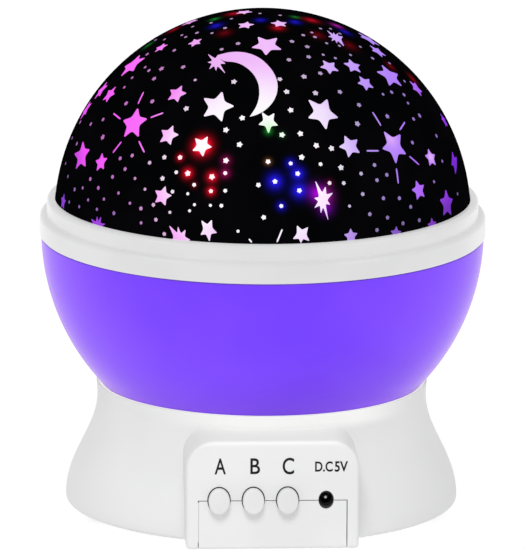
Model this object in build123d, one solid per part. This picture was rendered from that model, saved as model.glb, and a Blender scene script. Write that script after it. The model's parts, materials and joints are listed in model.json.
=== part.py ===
from build123d import *
import os
from math import asin, atan, atan2, cos, degrees, pi, radians, sin, sqrt, tan

# Star night light projector.
# Millimetres, +Z up, control panel towards -Y, origin under the centre of the feet.
# A round base holds cells, a geared motor and the control board. A bowl with a star dome
# turns on top of it, about a fixed hollow column that carries the lamps.

# ---------------------------------------------------------------- driving dimensions
wall = 2.0                # moulded wall of base and bowl
seat_gap = 0.15           # between fixed pieces that locate each other
move_gap = 0.3            # between pieces that move past each other
shaft_gap = 0.06          # radial running clearance of a shaft in its bore
edge_break = 0.4          # small rounding of loose edges

foot_proud = 2.0          # feet below the base's bottom edge
foot_radius = 4.5
foot_sink = 1.0
foot_inset = 9.7          # feet's middles inside the base's widest round
foot_angle = 20.0         # feet stand this far either side of the X axis

base_radius = 56.2        # widest round of the base
base_edge_round = 1.5
waist_tuck = 0.26         # narrowest round of the base inside its lip
waist_height = 31.5       # waist above the base's bottom edge
flare_pull = 11.5         # how far the base's flank stays upright above its foot
waist_pull = 11.8         # and below its waist
lip_rise = 3.9            # lip above the waist
lip_width = 0.7

dome_radius = 59.8
ring_step = 2.1           # upper ring past the dome
rim_step = 2.1            # rim past the upper ring
rim_proud = 0.5           # rim past the bowl
ring_radius = dome_radius + ring_step
rim_radius = ring_radius + rim_step
bowl_radius = rim_radius - rim_proud  # the bowl is part of a ball

bowl_gap = 0.5            # between the bowl and the well it turns in
floor_thick = 2.0
floor_radius = 40.27      # where the ball is cut flat for the bowl's floor

rim_height = 6.4
rim_edge_round = 1.6
rim_drop = 1.1            # rim's lower edge below the ball's widest line
rim_skirt_depth = 4.5     # locating skirt inside the bowl
rim_wall = 1.7
rim_ledge = 2.2

ring_height = 4.4         # upper ring, which comes off with the dome
ring_edge_round = 1.2
retainer_thick = 1.7
retainer_width = 4.0

dome_wall = 1.2
dome_sink = 1.2           # ball centre of the dome below the rim's top
dome_seat_drop = 1.0      # dome's edge below its ball centre
diffuser_wall = 0.8

panel_proud = 5.3         # front face of the control block past the base's widest round
panel_width = 49.2
panel_height = 31.6
panel_corner = 8.0
panel_low_corner = 1.2
panel_edge_round = 1.2
tongue_width = 42.6       # lower half of the face belongs to the bottom cover
parting_height = 14.45    # parting line above the base's bottom edge
parting_gap = 0.25

button_width = 6.1
button_height = 7.4
button_gap = 0.15
button_proud = 2.4
button_edge_round = 0.6
button_flange = 0.8
button_flange_thick = 1.2
button_travel = 1.5
button_stem_radius = 1.6
button_middle = -5.55
button_pitch = 9.75
button_places = {name: button_middle + i * button_pitch for name, i in (("a", -1), ("b", 0), ("c", 1))}

jack_place = 15.2
jack_mouth_width = 4.4
jack_mouth_height = 5.4
jack_width = 9.0
jack_height = 10.0
jack_sunk = 1.0           # pocket behind the panel's face that holds the jack's front
jack_lip_radius = 2.0
jack_lip_depth = 2.0
jack_bore_radius = 1.75
jack_bore_depth = 6.0
jack_pin_radius = 0.6

board_thick = 1.6
board_back = 11.5         # front of the board behind the panel's face
board_width = 42.0
board_low = 3.0           # board's lower edge above the base's bottom edge
board_height = 23.5
board_screw_spread = 18.6
board_screw_height = 24.5
boss_radius = 2.6

switch_size = 6.0
switch_depth = 3.5
plunger_radius = 1.75
plunger_proud = button_travel
switch_skin = 0.3
plunger_end_gap = 0.2     # left behind a plunger pressed home

cell_radius = 5.25
cell_body = 43.3
cell_nub_radius = 1.9
cell_nub = 1.2
cell_count = 4
cell_pitch = 11.0
cell_room = 0.3
spring_length = 4.2
spring_radius = 2.6
spring_wire = 0.3
spring_turns = 3
contact_thick = 0.4
contact_inset = 1.0
cell_edge_round = 0.5
bay_wall = 1.3
bay_offset = 5.5          # centre of the cells behind the middle

cover_thick = 2.0
cover_gap = 0.25
cover_screw_spread = 31.0
cover_boss_radius = 3.2
cover_boss_height = 29.0
door_thick = 1.2
door_gap = 0.25
door_lap = 1.5            # door past the bay's opening
door_ear = 4.0
door_ear_reach = 5.5
door_boss_height = 7.0
door_screw_sink = 0.7     # screw heads let into the door
door_grip_half = 6.0
door_grip_step = 2.0
door_grip_depth = 0.5
door_grips = 4

screw_radius = 1.0
screw_head_radius = 1.9
screw_head_height = 1.4
screw_bite = 4.0          # thread in the piece that a screw goes into
screw_room = 1.0          # hole past the screw's end
screw_slot = 0.6          # width of the cross in its head

chassis_thick = 1.5
lead_room = 2.2           # room for the lamp lead above the cells' roof
gear_floor_gap = 0.4
big_face = 2.0            # width of the motor-side gears
small_face = 3.0          # width of the hub-side gears
gear_roof_gap = 2.1
deck_thick = 2.0

gear_module = 1.0
pressure_angle = 25.0
addendum = 0.85
dedendum = 1.1
backlash = 0.2
hub_teeth = 36
idler_small_teeth = 12
idler_big_teeth = 24
pinion_teeth = 10
gear_shaft_radius = 1.5
axle_cap = 0.5            # deck left over the end of the idler's axle
flange_skin = 0.4         # flange left under the bowl's screws

column_radius = 5.0
column_bore = 3.4
column_height = 50.0      # above the chassis plate
hub_radius = 9.6
hub_hole_gap = 0.4
hub_flange_radius = 20.0
hub_flange_thick = 1.9
hub_spigot_rise = 1.5
washer_inner = 11.0
washer_outer = 17.0
washer_thick = 0.8
washer_proud = 0.5
gear_screw_ring = 7.4
gear_screw_head_radius = 1.7
bowl_screw_ring = 15.0

motor_place = 38.0
motor_radius = 11.3
motor_lift = 0.6          # motor above the cover
motor_floor = 3.0         # below the end of its shaft
motor_edge_round = 1.0
motor_ear_reach = 2.3
motor_ear_radius = 2.8
motor_ear_thick = 1.5
chassis_post_radius = 33.0
chassis_post_size = 3.2

lamp_radius = 2.5
lamp_body = 6.1
lamp_flange = 0.4
lamp_flange_height = 1.0
lamp_ring = 7.5
lamp_cup_radius = 15.0
lamp_cup_wall = 1.2
lamp_cup_rise = 2.6
lamp_cup_floor = 2.0
lamp_socket_depth = 4.0
lamp_socket_wall = 2.0
lead_radius = 0.8
motor_lead_shift = 20.0   # sideways, from the motor to the board
motor_lead_start = 12.0   # first run, out of the motor
motor_lead_end = 14.0     # last run, into the board
battery_lead_from = -20.0
battery_lead_to = -12.0
battery_lead_start = 10.0
battery_lead_end = 11.0

chip_width = 8.0
chip_height = 5.0
chip_depth = 1.6
chip_place = (-7.0, 5.5)  # on the back of the board, from its middle on the parting line
capacitor_radius = 2.5
capacitor_length = 7.0
capacitor_place = (8.0, 6.0)
resistor_size = (2.0, 0.6, 1.2)
resistor_places = [(-17, -6), (-17, 2), (-5, -8), (3, -8), (3, 8), (14, 3)]

# ---------------------------------------------------------------- heights and places
base_low = foot_proud
cover_top = base_low + cover_thick
waist_z = base_low + waist_height
lip_z = waist_z + lip_rise
panel_top = base_low + panel_height
parting_z = base_low + parting_height
cell_low = cover_top + cell_room
cell_z = cell_low + cell_radius
bay_roof = cell_low + 2 * cell_radius + cell_room
bay_top = bay_roof + bay_wall
bay_length = cell_body + cell_nub + spring_length + 2 * contact_thick
bay_depth = cell_count * cell_pitch
bay_front = bay_offset - bay_depth / 2
bay_back = bay_offset + bay_depth / 2

chassis_low = bay_top + lead_room
chassis_top = chassis_low + chassis_thick
big_low = chassis_top + gear_floor_gap
big_top = big_low + big_face
small_top = big_top + small_face
deck_low = small_top + gear_roof_gap
deck_top = deck_low + deck_thick
flange_low = deck_top + washer_proud
flange_top = flange_low + hub_flange_thick
column_top = chassis_top + column_height

bowl_low = flange_top
bowl_floor = bowl_low + floor_thick
ball_z = bowl_low + sqrt(bowl_radius**2 - floor_radius**2)
well_radius = bowl_radius + bowl_gap
lip_radius = sqrt(well_radius**2 - (ball_z - lip_z) ** 2) + lip_width
waist_radius = lip_radius - waist_tuck
rim_low = ball_z - rim_drop
rim_top = rim_low + rim_height
ledge_z = rim_low + rim_ledge
ring_top = rim_top + ring_height
dome_z = rim_top - dome_sink
dome_seat = dome_z - dome_seat_drop

panel_reach = base_radius + panel_proud
foot_ring_radius = base_radius - foot_inset
face_y = -panel_reach
inner_face_y = face_y + wall
board_y = face_y + board_back
switch_front = board_y - switch_depth
jack_front = inner_face_y - jack_sunk + seat_gap

hub_pitch = gear_module * hub_teeth / 2
idler_small_pitch = gear_module * idler_small_teeth / 2
idler_big_pitch = gear_module * idler_big_teeth / 2
pinion_pitch = gear_module * pinion_teeth / 2
idler_reach = hub_pitch + idler_small_pitch
pinion_reach = idler_big_pitch + pinion_pitch


def triangle_angle(side_a, side_b, opposite):
    """Angle between two sides of a triangle, in degrees, from its three lengths."""
    part = (side_a**2 + side_b**2 - opposite**2) / (2 * side_a * side_b)
    return degrees(pi / 2 - asin(part))


idler_angle = triangle_angle(idler_reach, motor_place, pinion_reach)
idler_x = idler_reach * cos(radians(idler_angle))
idler_y = idler_reach * sin(radians(idler_angle))
pinion_angle = degrees(atan2(-idler_y, motor_place - idler_x))

cover_screw_places = [
    (i * cover_screw_spread, j * cover_screw_spread)
    for i in (-1, 1)
    for j in (-1, 1)
]
door_screw_places = [
    (0, bay_front - bay_wall - door_ear_reach),
    (0, bay_back + bay_wall + door_ear_reach),
]
foot_places = [
    (foot_ring_radius * cos(radians(a)), foot_ring_radius * sin(radians(a)))
    for a in (foot_angle, 180 - foot_angle, 180 + foot_angle, -foot_angle)
]
chassis_posts = [
    (chassis_post_radius * cos(radians(a)), chassis_post_radius * sin(radians(a)))
    for a in (90, 210, 300)
]
motor_ears = [(motor_place, j * (motor_radius + motor_ear_reach)) for j in (-1, 1)]
cell_places = [bay_front + cell_pitch * (i + 0.5) for i in range(cell_count)]
lamp_places = {
    "warm": (0.0, 0.0),
    "red": (lamp_ring * cos(radians(90)), lamp_ring * sin(radians(90))),
    "green": (lamp_ring * cos(radians(210)), lamp_ring * sin(radians(210))),
    "blue": (lamp_ring * cos(radians(330)), lamp_ring * sin(radians(330))),
}
LOW = (Align.CENTER, Align.CENTER, Align.MIN)


# ---------------------------------------------------------------- helpers
def rod(radius, z0, z1, x=0.0, y=0.0):
    return Pos(x, y, z0) * Cylinder(radius, z1 - z0, align=LOW)


def tube(outer, inner, z0, z1, x=0.0, y=0.0):
    return rod(outer, z0, z1, x, y) - rod(inner, z0, z1, x, y)


def slab(x0, x1, y0, y1, z0, z1):
    middle = Pos((x0 + x1) / 2, (y0 + y1) / 2, (z0 + z1) / 2)
    return middle * Box(x1 - x0, y1 - y0, z1 - z0)


def lathe(outline):
    """Turn a closed outline of (radius, height) edges about Z."""
    return revolve(Plane.XZ * make_face(outline), Axis.Z)


def ball(radius, centre_z):
    return Pos(0, 0, centre_z) * Sphere(radius)


def above(solid, z):
    """The part of a round solid that lies above a height."""
    return solid & rod(2 * rim_radius, z, z + 4 * rim_radius)


def facing_y(x, y, z):
    """A plane that looks along +Y, with its own x along +X."""
    return Plane(origin=(x, y, z), x_dir=(1, 0, 0), z_dir=(0, 1, 0))


def oval_rod(x, z, width, height, y0, y1):
    return extrude(facing_y(x, y0, z) * Ellipse(width / 2, height / 2), amount=y1 - y0)


def round_rod(x, z, radius, y0, y1):
    return extrude(facing_y(x, y0, z) * Circle(radius), amount=y1 - y0)


def screw_up(x, y, head_z, length, head_radius=screw_head_radius):
    """Cross-head screw that points up: its head lies below head_z, its shank above."""
    head = rod(head_radius, head_z - screw_head_height, head_z, x, y)
    low = head_z - screw_head_height
    arm = 0.6 * head_radius
    half = screw_slot / 2
    for w, d in ((arm, half), (half, arm)):
        head -= slab(x - w, x + w, y - d, y + d, low, low + screw_head_height / 2)
    return head + rod(screw_radius, head_z, head_z + length, x, y)


def turn_over(shape, z):
    """Point a screw the other way, about the height of its head's seat."""
    return Pos(0, 0, z) * Rot(180, 0, 0) * Pos(0, 0, -z) * shape


def screw_down(x, y, head_z, length, head_radius=screw_head_radius):
    return turn_over(screw_up(x, -y, head_z, length, head_radius), head_z)


def route(points, radius, widest=30.0):
    """Wire bundle along straight runs joined by arcs, as large as the runs and their room allow."""
    corners = [Vector(*p) for p in points]
    bends = []
    for before, here, after in zip(corners, corners[1:], corners[2:]):
        turn = radians((here - before).get_angle(after - here))
        shorter = min((here - before).length, (after - here).length)
        bends.append(min(widest, 0.45 * shorter / tan(turn / 2)))
    path = FilletPolyline(*points, radius=bends)
    start = Plane(origin=path @ 0, z_dir=path % 0)
    return sweep(start * Circle(radius), path=path)


# ---------------------------------------------------------------- gears
def involute_point(base, radius, turn, side):
    """Point of an involute at a radius, turned about the gear's centre."""
    roll = sqrt(max(radius**2 / base**2 - 1, 0))
    angle = turn + side * (roll - atan(roll))
    return (radius * cos(angle), radius * sin(angle))


def gear(teeth, z0, z1, bore, phase):
    """Spur gear with its first tooth's middle at phase degrees."""
    pitch = gear_module * teeth / 2
    base = pitch * cos(radians(pressure_angle))
    tip = pitch + addendum * gear_module
    root = pitch - dedendum * gear_module
    start = max(base, root)
    roll = tan(radians(pressure_angle))
    half = (pi * gear_module / 2 - backlash / 2) / (2 * pitch) + roll - atan(roll)
    edges = []
    step = 2 * pi / teeth
    for i in range(teeth):
        middle = radians(phase) + i * step
        flank = {}
        for side in (-1, 1):
            line = [involute_point(base, r, middle + side * half, -side) for r in (start, pitch, tip)]
            flank[side] = line
        foot = {s: (root * cos(a), root * sin(a)) for s, a in (
            (-1, atan2(flank[-1][0][1], flank[-1][0][0])), (1, atan2(flank[1][0][1], flank[1][0][0])))}
        if start > root:
            edges.append(Line(foot[-1], flank[-1][0]))
        edges.append(ThreePointArc(*flank[-1]))
        crown = (tip * cos(middle), tip * sin(middle))
        edges.append(ThreePointArc(flank[-1][2], crown, flank[1][2]))
        edges.append(ThreePointArc(*reversed(flank[1])))
        if start > root:
            edges.append(Line(flank[1][0], foot[1]))
        valley = middle + step / 2
        low = (root * cos(valley), root * sin(valley))
        next_low = atan2(foot[-1][1], foot[-1][0]) + step
        edges.append(ThreePointArc(foot[1], low, (root * cos(next_low), root * sin(next_low))))
    blank = extrude(make_face(Wire(edges)), amount=z1 - z0)
    return Pos(0, 0, z0) * blank - rod(bore, z0, z1)


# ---------------------------------------------------------------- base
def base_round(inset, low):
    """Flared body of the base, its flank moved in by inset and its bottom at low."""
    foot = (base_radius - inset, base_low + base_edge_round)
    flank = Bezier(
        foot,
        (base_radius - inset, foot[1] + flare_pull),
        (waist_radius - inset, waist_z - waist_pull),
        (waist_radius - inset, waist_z),
    )
    neck = Line((waist_radius - inset, waist_z), (lip_radius - inset, lip_z))
    top = Polyline((lip_radius - inset, lip_z), (0, lip_z), (0, low))
    if inset:
        return lathe([flank, neck, top, Polyline((0, low), (foot[0], low), foot)])
    bottom = Line((0, low), (base_radius - base_edge_round, low))
    edge = RadiusArc(foot, (base_radius - base_edge_round, low), base_edge_round)
    return lathe([flank, neck, top, bottom, edge])


def panel_prism(inset, y0, low):
    """Control block with its sides and rounded top corners moved in by inset."""
    half = panel_width / 2 - inset
    block = slab(-half, half, y0, -waist_radius + 3 * wall, low, panel_top - inset)
    top_corners = block.edges().filter_by(Axis.Y).sort_by(Axis.Z)[2:]
    return fillet(top_corners, panel_corner - inset)


def panel_block():
    """Solid control block with a soft edge round its front face."""
    block = panel_prism(0, face_y, base_low)
    low_corners = block.edges().filter_by(Axis.Y).sort_by(Axis.Z)[:2]
    block = fillet(low_corners, panel_low_corner)
    front = block.faces().sort_by(Axis.Y)[0]
    return fillet(front.edges(), panel_edge_round)


def panel_holes(y0, y1):
    """Button and jack holes through the face and the pocket behind it for the jack, as one cutter."""
    holes = oval_rod(jack_place, parting_z, jack_mouth_width, jack_mouth_height, y0, y1)
    half, rise = jack_width / 2 + seat_gap, jack_height / 2 + seat_gap
    holes += slab(jack_place - half, jack_place + half, inner_face_y - jack_sunk, inner_face_y,
                  parting_z - rise, parting_z + rise)
    for x in button_places.values():
        holes += oval_rod(x, parting_z, button_width + 2 * button_gap, button_height + 2 * button_gap, y0, y1)
    return holes


def tongue_slab(gap, y0, y1, z0):
    half = tongue_width / 2 - gap
    return slab(-half, half, y0, y1, z0, parting_z - gap)


def base_housing():
    cavity = base_round(wall, base_low - wall) + panel_prism(wall, inner_face_y, base_low - wall)
    cavity -= above(ball(well_radius + wall, ball_z), deck_low)
    body = base_round(0, base_low) + panel_block() - cavity
    body -= above(ball(well_radius, ball_z), deck_top)
    body -= rod(hub_radius + hub_hole_gap, deck_low - wall, lip_z)
    body -= rod(washer_outer, deck_top - washer_thick + washer_proud, deck_top)
    body -= tongue_slab(0, face_y - wall, inner_face_y, base_low - wall)
    for x, y in cover_screw_places:
        body += rod(cover_boss_radius, cover_top, base_low + cover_boss_height, x, y)
        body -= rod(screw_radius, cover_top, cover_top + screw_bite + screw_room, x, y)
    for x, y in chassis_posts:
        body += rod(chassis_post_size, chassis_top, deck_low, x, y)
        body -= rod(screw_radius, chassis_top, chassis_top + screw_bite + screw_room, x, y)
    body += rod(2 * gear_shaft_radius, small_top + gear_floor_gap, deck_low, idler_x, idler_y)
    body -= rod(gear_shaft_radius, small_top, deck_low - axle_cap, idler_x, idler_y)
    for i in (-1, 1):
        x, z = i * board_screw_spread, base_low + board_screw_height
        body += round_rod(x, z, boss_radius, inner_face_y, board_y)
        body -= round_rod(x, z, screw_radius, board_y - screw_bite - screw_room, board_y)
    return body - panel_holes(face_y - wall, inner_face_y + wall)


def door_outline(grow, z0, z1):
    half = bay_length / 2 + door_lap + grow
    door = slab(-half, half, bay_front - door_lap - grow, bay_back + door_lap + grow, z0, z1)
    for x, y in door_screw_places:
        door += rod(door_ear + grow, z0, z1, x, y)
        door += slab(x - door_ear - grow, x + door_ear + grow, min(y, bay_offset), max(y, bay_offset), z0, z1)
    return door


def base_cover():
    rim = base_radius - wall - cover_gap
    half = panel_width / 2 - wall - cover_gap
    plate = rod(rim, base_low, cover_top)
    plate += slab(-half, half, inner_face_y + cover_gap, 0, base_low, cover_top)
    plate += panel_block() & tongue_slab(parting_gap, face_y, inner_face_y, base_low)
    plate += tongue_slab(parting_gap, inner_face_y, inner_face_y + cover_thick, base_low) & rod(
        2 * base_radius, base_low, cover_top)
    long = bay_length / 2
    plate += slab(-long - bay_wall, long + bay_wall, bay_front - bay_wall, bay_back + bay_wall,
                  base_low, bay_top)
    for x, y in door_screw_places:
        plate += rod(door_ear - door_gap, base_low, cover_top + door_boss_height, x, y)
    plate -= slab(-long, long, bay_front, bay_back, base_low, bay_roof)
    plate -= door_outline(door_gap, base_low, base_low + door_thick)
    for x, y in door_screw_places:
        plate -= rod(screw_radius, base_low, base_low + door_thick + screw_bite + screw_room, x, y)
    for x, y in cover_screw_places:
        plate -= rod(screw_head_radius + seat_gap, base_low, base_low + cover_thick / 2, x, y)
        plate -= rod(screw_radius, base_low, cover_top, x, y)
    for x, y in foot_places:
        plate -= rod(foot_radius, base_low, base_low + foot_sink, x, y)
    return plate - panel_holes(face_y - wall, inner_face_y + wall)


def cover_screws():
    seat = base_low + cover_thick / 2
    return [screw_up(x, y, seat, cover_thick / 2 + screw_bite) for x, y in cover_screw_places]


def rubber_feet():
    feet = []
    for x, y in foot_places:
        foot = rod(foot_radius, 0, base_low + foot_sink, x, y)
        feet.append(chamfer(foot.edges().sort_by(Axis.Z)[0], edge_break))
    return feet


# ---------------------------------------------------------------- cells
def battery_door():
    door = door_outline(0, base_low, base_low + door_thick)
    for x, y in door_screw_places:
        door -= rod(screw_radius + seat_gap, base_low, base_low + door_thick, x, y)
        door -= rod(screw_head_radius + seat_gap, base_low, base_low + door_screw_sink, x, y)
    start = bay_front + door_grip_step / 2
    grip = slab(-door_grip_half, door_grip_half, start, start + door_grip_step / 2,
                base_low, base_low + door_grip_depth)
    for i in range(door_grips):
        door -= Pos(0, door_grip_step * i, 0) * grip
    return door


def door_screws():
    seat = base_low + door_screw_sink
    length = door_thick - door_screw_sink + screw_bite
    return [screw_up(x, y, seat, length) for x, y in door_screw_places]


def battery_cells():
    """Cells side by side, each the other way round from its neighbour."""
    cells = []
    for i, y in enumerate(cell_places):
        body = Cylinder(cell_radius, cell_body, align=LOW)
        body = fillet(body.edges(), cell_edge_round)
        cell = body + Pos(0, 0, cell_body) * Cylinder(cell_nub_radius, cell_nub, align=LOW)
        start = -bay_length / 2 + contact_thick + spring_length
        side = 1 if i % 2 == 0 else -1
        cells.append(Pos(side * start, y, cell_z) * Rot(0, side * 90, 0) * cell)
    return cells


def contact_springs():
    springs = []
    for i, y in enumerate(cell_places):
        height = spring_length - 2 * spring_wire
        coil = Helix(height / spring_turns, height, spring_radius)
        wire = sweep(Plane(origin=coil @ 0, z_dir=coil % 0) * Circle(spring_wire), path=coil, is_frenet=True)
        side = 1 if i % 2 == 0 else -1
        start = -bay_length / 2 + contact_thick + spring_wire
        springs.append(Pos(side * start, y, cell_z) * Rot(0, side * 90, 0) * wire)
    return springs


def contact_plates():
    plates = []
    for side in (-1, 1):
        outer = side * bay_length / 2
        inner = outer - side * contact_thick
        low, high = min(inner, outer), max(inner, outer)
        plates.append(slab(low, high, bay_front + contact_inset, bay_back - contact_inset,
                           cell_low, bay_roof - cell_room))
    return plates


# ---------------------------------------------------------------- drive
def chassis_plate():
    """Plate that closes the gear space, with the fixed column in its middle."""
    pads = [Pos(x, y) * Circle(chassis_post_size + 1) for x, y in chassis_posts]
    pads += [Pos(x, y) * Circle(motor_ear_radius) for x, y in motor_ears]
    outline = make_hull([edge for pad in pads for edge in pad.edges()])
    plate = Pos(0, 0, chassis_low) * extrude(outline, amount=chassis_thick)
    plate += rod(column_radius, chassis_top, column_top)
    plate += rod(column_radius + wall, chassis_low, chassis_top)
    plate -= rod(column_bore, chassis_low, column_top)
    plate -= rod(2 * gear_shaft_radius, chassis_low, chassis_top, motor_place, 0)
    plate -= rod(gear_shaft_radius, chassis_low, chassis_top, idler_x, idler_y)
    for x, y in chassis_posts + motor_ears:
        plate -= rod(screw_radius, chassis_low, chassis_top, x, y)
    return plate


def chassis_screws():
    return [screw_up(x, y, chassis_low, chassis_thick + screw_bite) for x, y in chassis_posts]


def motor_case():
    low = cover_top + motor_lift
    case = rod(motor_radius, low, chassis_low, motor_place)
    case = fillet(case.edges().sort_by(Axis.Z)[0], motor_edge_round)
    for x, y in motor_ears:
        ear = rod(motor_ear_radius, chassis_low - motor_ear_thick, chassis_low, x, y)
        ear += slab(x - motor_ear_radius, x + motor_ear_radius, min(y, 0), max(y, 0),
                    chassis_low - motor_ear_thick, chassis_low)
        case += ear
    for x, y in motor_ears:
        case -= rod(screw_radius, chassis_low - motor_ear_thick, chassis_low, x, y)
    return case - rod(gear_shaft_radius + shaft_gap, low + motor_floor, chassis_low, motor_place)


def motor_screws():
    length = chassis_thick + motor_ear_thick
    return [screw_down(x, y, chassis_top, length) for x, y in motor_ears]


def output_shaft():
    low = cover_top + motor_lift + motor_floor
    return rod(gear_shaft_radius, low, big_top + gear_floor_gap, motor_place)


def drive_pinion():
    phase = pinion_angle + 180 + 180 / pinion_teeth
    return Pos(motor_place, 0, 0) * gear(pinion_teeth, big_low, big_top, gear_shaft_radius, phase)


def idler_gear():
    bore = gear_shaft_radius + shaft_gap
    big = gear(idler_big_teeth, big_low, big_top, bore, pinion_angle)
    small = gear(idler_small_teeth, big_top, small_top, bore, idler_angle + 180 + 180 / idler_small_teeth)
    boss = tube(2 * gear_shaft_radius, bore, chassis_top, big_low)
    return Pos(idler_x, idler_y, 0) * (big + small + boss)


def idler_axle():
    return rod(gear_shaft_radius, chassis_low, deck_low - axle_cap, idler_x, idler_y)


def ring_places(radius, count=3, first=30):
    angles = [radians(first + 360 * i / count) for i in range(count)]
    return [(radius * cos(a), radius * sin(a)) for a in angles]


def hub_gear():
    wheel = gear(hub_teeth, big_top, small_top, column_radius + move_gap, idler_angle)
    for x, y in ring_places(gear_screw_ring):
        wheel -= rod(screw_radius, big_top, small_top, x, y)
    return wheel


def gear_screws():
    return [screw_up(x, y, big_top, small_face + screw_bite, gear_screw_head_radius)
            for x, y in ring_places(gear_screw_ring)]


def turntable_hub():
    hub = rod(hub_radius, small_top, bowl_floor + hub_spigot_rise)
    hub += rod(hub_flange_radius, flange_low, flange_top)
    hub -= rod(column_radius + shaft_gap, small_top, bowl_floor + hub_spigot_rise)
    for x, y in ring_places(gear_screw_ring):
        hub -= rod(screw_radius, small_top, small_top + screw_bite, x, y)
    for x, y in ring_places(bowl_screw_ring, first=90):
        hub -= rod(screw_radius, flange_low + flange_skin, flange_top, x, y)
    return hub


def thrust_washer():
    low = deck_top - washer_thick + washer_proud
    return tube(washer_outer - seat_gap, washer_inner, low, flange_low)


# ---------------------------------------------------------------- turning bowl
def bowl_shell():
    outer = above(ball(bowl_radius, ball_z), bowl_low) & rod(2 * bowl_radius, bowl_low, rim_low)
    inner = above(ball(bowl_radius - wall, ball_z), bowl_floor) & rod(2 * bowl_radius, bowl_floor, rim_low)
    bowl = outer - inner - rod(hub_radius + seat_gap, bowl_low, bowl_floor)
    for x, y in ring_places(bowl_screw_ring, first=90):
        bowl -= rod(screw_radius, bowl_low, bowl_floor, x, y)
    return bowl


def bowl_screws():
    length = bowl_floor - flange_low - flange_skin
    return [screw_down(x, y, bowl_floor, length) for x, y in ring_places(bowl_screw_ring, first=90)]


rim_inner = ring_radius - 2 * move_gap
rim_fit = bowl_radius - wall - move_gap - seat_gap


def rim_collar():
    """Lower tier of the white band, fixed in the bowl's mouth."""
    low_edge = Polyline((rim_fit, rim_low), (rim_radius - edge_break, rim_low),
                        (rim_radius, rim_low + edge_break), (rim_radius, rim_top - rim_edge_round))
    corner = RadiusArc((rim_radius, rim_top - rim_edge_round), (rim_radius - rim_edge_round, rim_top),
                       -rim_edge_round)
    inside = Polyline(
        (rim_radius - rim_edge_round, rim_top),
        (rim_inner, rim_top),
        (rim_inner, ledge_z),
        (rim_fit - rim_wall, ledge_z),
        (rim_fit - rim_wall, rim_low - rim_skirt_depth),
        (rim_fit, rim_low - rim_skirt_depth),
        (rim_fit, rim_low),
    )
    return lathe([low_edge, corner, inside])


# ---------------------------------------------------------------- dome
ring_skirt_outer = rim_inner - move_gap
retainer_low = dome_seat - retainer_thick


def dome_ring():
    """Upper tier of the white band, which hugs the dome and lifts off with it."""
    outline = Polyline(
        (ring_skirt_outer, dome_seat),
        (ring_skirt_outer, rim_top),
        (ring_radius, rim_top),
        (ring_radius, ring_top - ring_edge_round),
    )
    corner = RadiusArc((ring_radius, ring_top - ring_edge_round), (ring_radius - ring_edge_round, ring_top),
                       -ring_edge_round)
    inside = Polyline(
        (ring_radius - ring_edge_round, ring_top),
        (dome_radius / 2, ring_top),
        (dome_radius / 2, dome_seat),
        (ring_skirt_outer, dome_seat),
    )
    return lathe([outline, corner, inside]) - ball(dome_radius + seat_gap, dome_z)


def retainer_ring():
    return tube(ring_skirt_outer, ring_skirt_outer - retainer_width, retainer_low, dome_seat)


def dome_shell(outer, thick):
    return above(ball(outer, dome_z) - ball(outer - thick, dome_z), dome_seat)


def star_dome():
    return dome_shell(dome_radius, dome_wall)


def diffuser_dome():
    return dome_shell(dome_radius - dome_wall - seat_gap, diffuser_wall)


# ---------------------------------------------------------------- lamps
cup_low = column_top
board_seat = cup_low + lamp_cup_floor
lamp_seat = board_seat + board_thick


def lamp_holder():
    cup = rod(lamp_cup_radius, cup_low, board_seat + lamp_cup_rise)
    cup -= rod(lamp_cup_radius - lamp_cup_wall, board_seat, board_seat + lamp_cup_rise)
    cup += rod(column_radius + lamp_socket_wall, cup_low - lamp_socket_depth, cup_low)
    cup -= rod(column_radius, cup_low - lamp_socket_depth, cup_low)
    return cup - rod(column_bore, cup_low, board_seat)


def lamp_board():
    return rod(lamp_cup_radius - lamp_cup_wall - seat_gap, board_seat, lamp_seat)


def lamp(x, y):
    body = rod(lamp_radius, lamp_seat, lamp_seat + lamp_body, x, y)
    body += Pos(x, y, lamp_seat + lamp_body) * Sphere(lamp_radius)
    return body + rod(lamp_radius + lamp_flange, lamp_seat, lamp_seat + lamp_flange_height, x, y)


def lamp_lead():
    level = bay_top + lead_room / 2
    points = [(0, 0, board_seat), (0, 0, level), (0, board_y + board_thick, level)]
    return route(points, lead_radius, widest=column_radius)


def motor_lead():
    x = motor_place - motor_radius / 2
    edge = -sqrt(motor_radius**2 - (motor_place - x - lead_radius) ** 2)
    end = board_y + board_thick
    across = x - motor_lead_shift
    plan = [(x, edge), (x, edge - motor_lead_start), (across, end + motor_lead_end), (across, end)]
    return route([(px, py, cell_z) for px, py in plan], lead_radius)


def battery_lead():
    start = bay_front - bay_wall
    end = board_y + board_thick
    plan = [(battery_lead_from, start), (battery_lead_from, start - battery_lead_start),
            (battery_lead_to, end + battery_lead_end), (battery_lead_to, end)]
    return route([(px, py, cell_z) for px, py in plan], lead_radius)


# ---------------------------------------------------------------- controls
def control_board():
    low = base_low + board_low
    board = slab(-board_width / 2, board_width / 2, board_y, board_y + board_thick, low, low + board_height)
    for i in (-1, 1):
        board -= round_rod(i * board_screw_spread, base_low + board_screw_height, screw_radius,
                           board_y, board_y + board_thick)
    return board


def board_screws():
    screws = []
    back = board_y + board_thick
    for i in (-1, 1):
        x, z = i * board_screw_spread, base_low + board_screw_height
        shank = round_rod(x, z, screw_radius, board_y - screw_bite, back)
        screws.append(shank + round_rod(x, z, screw_head_radius, back, back + screw_head_height))
    return screws


def push_switches():
    switches = []
    for x in button_places.values():
        body = slab(x - switch_size / 2, x + switch_size / 2, switch_front, board_y,
                    parting_z - switch_size / 2, parting_z + switch_size / 2)
        body -= round_rod(x, parting_z, plunger_radius + shaft_gap, switch_front, board_y - switch_skin)
        switches.append(body)
    return switches


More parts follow.
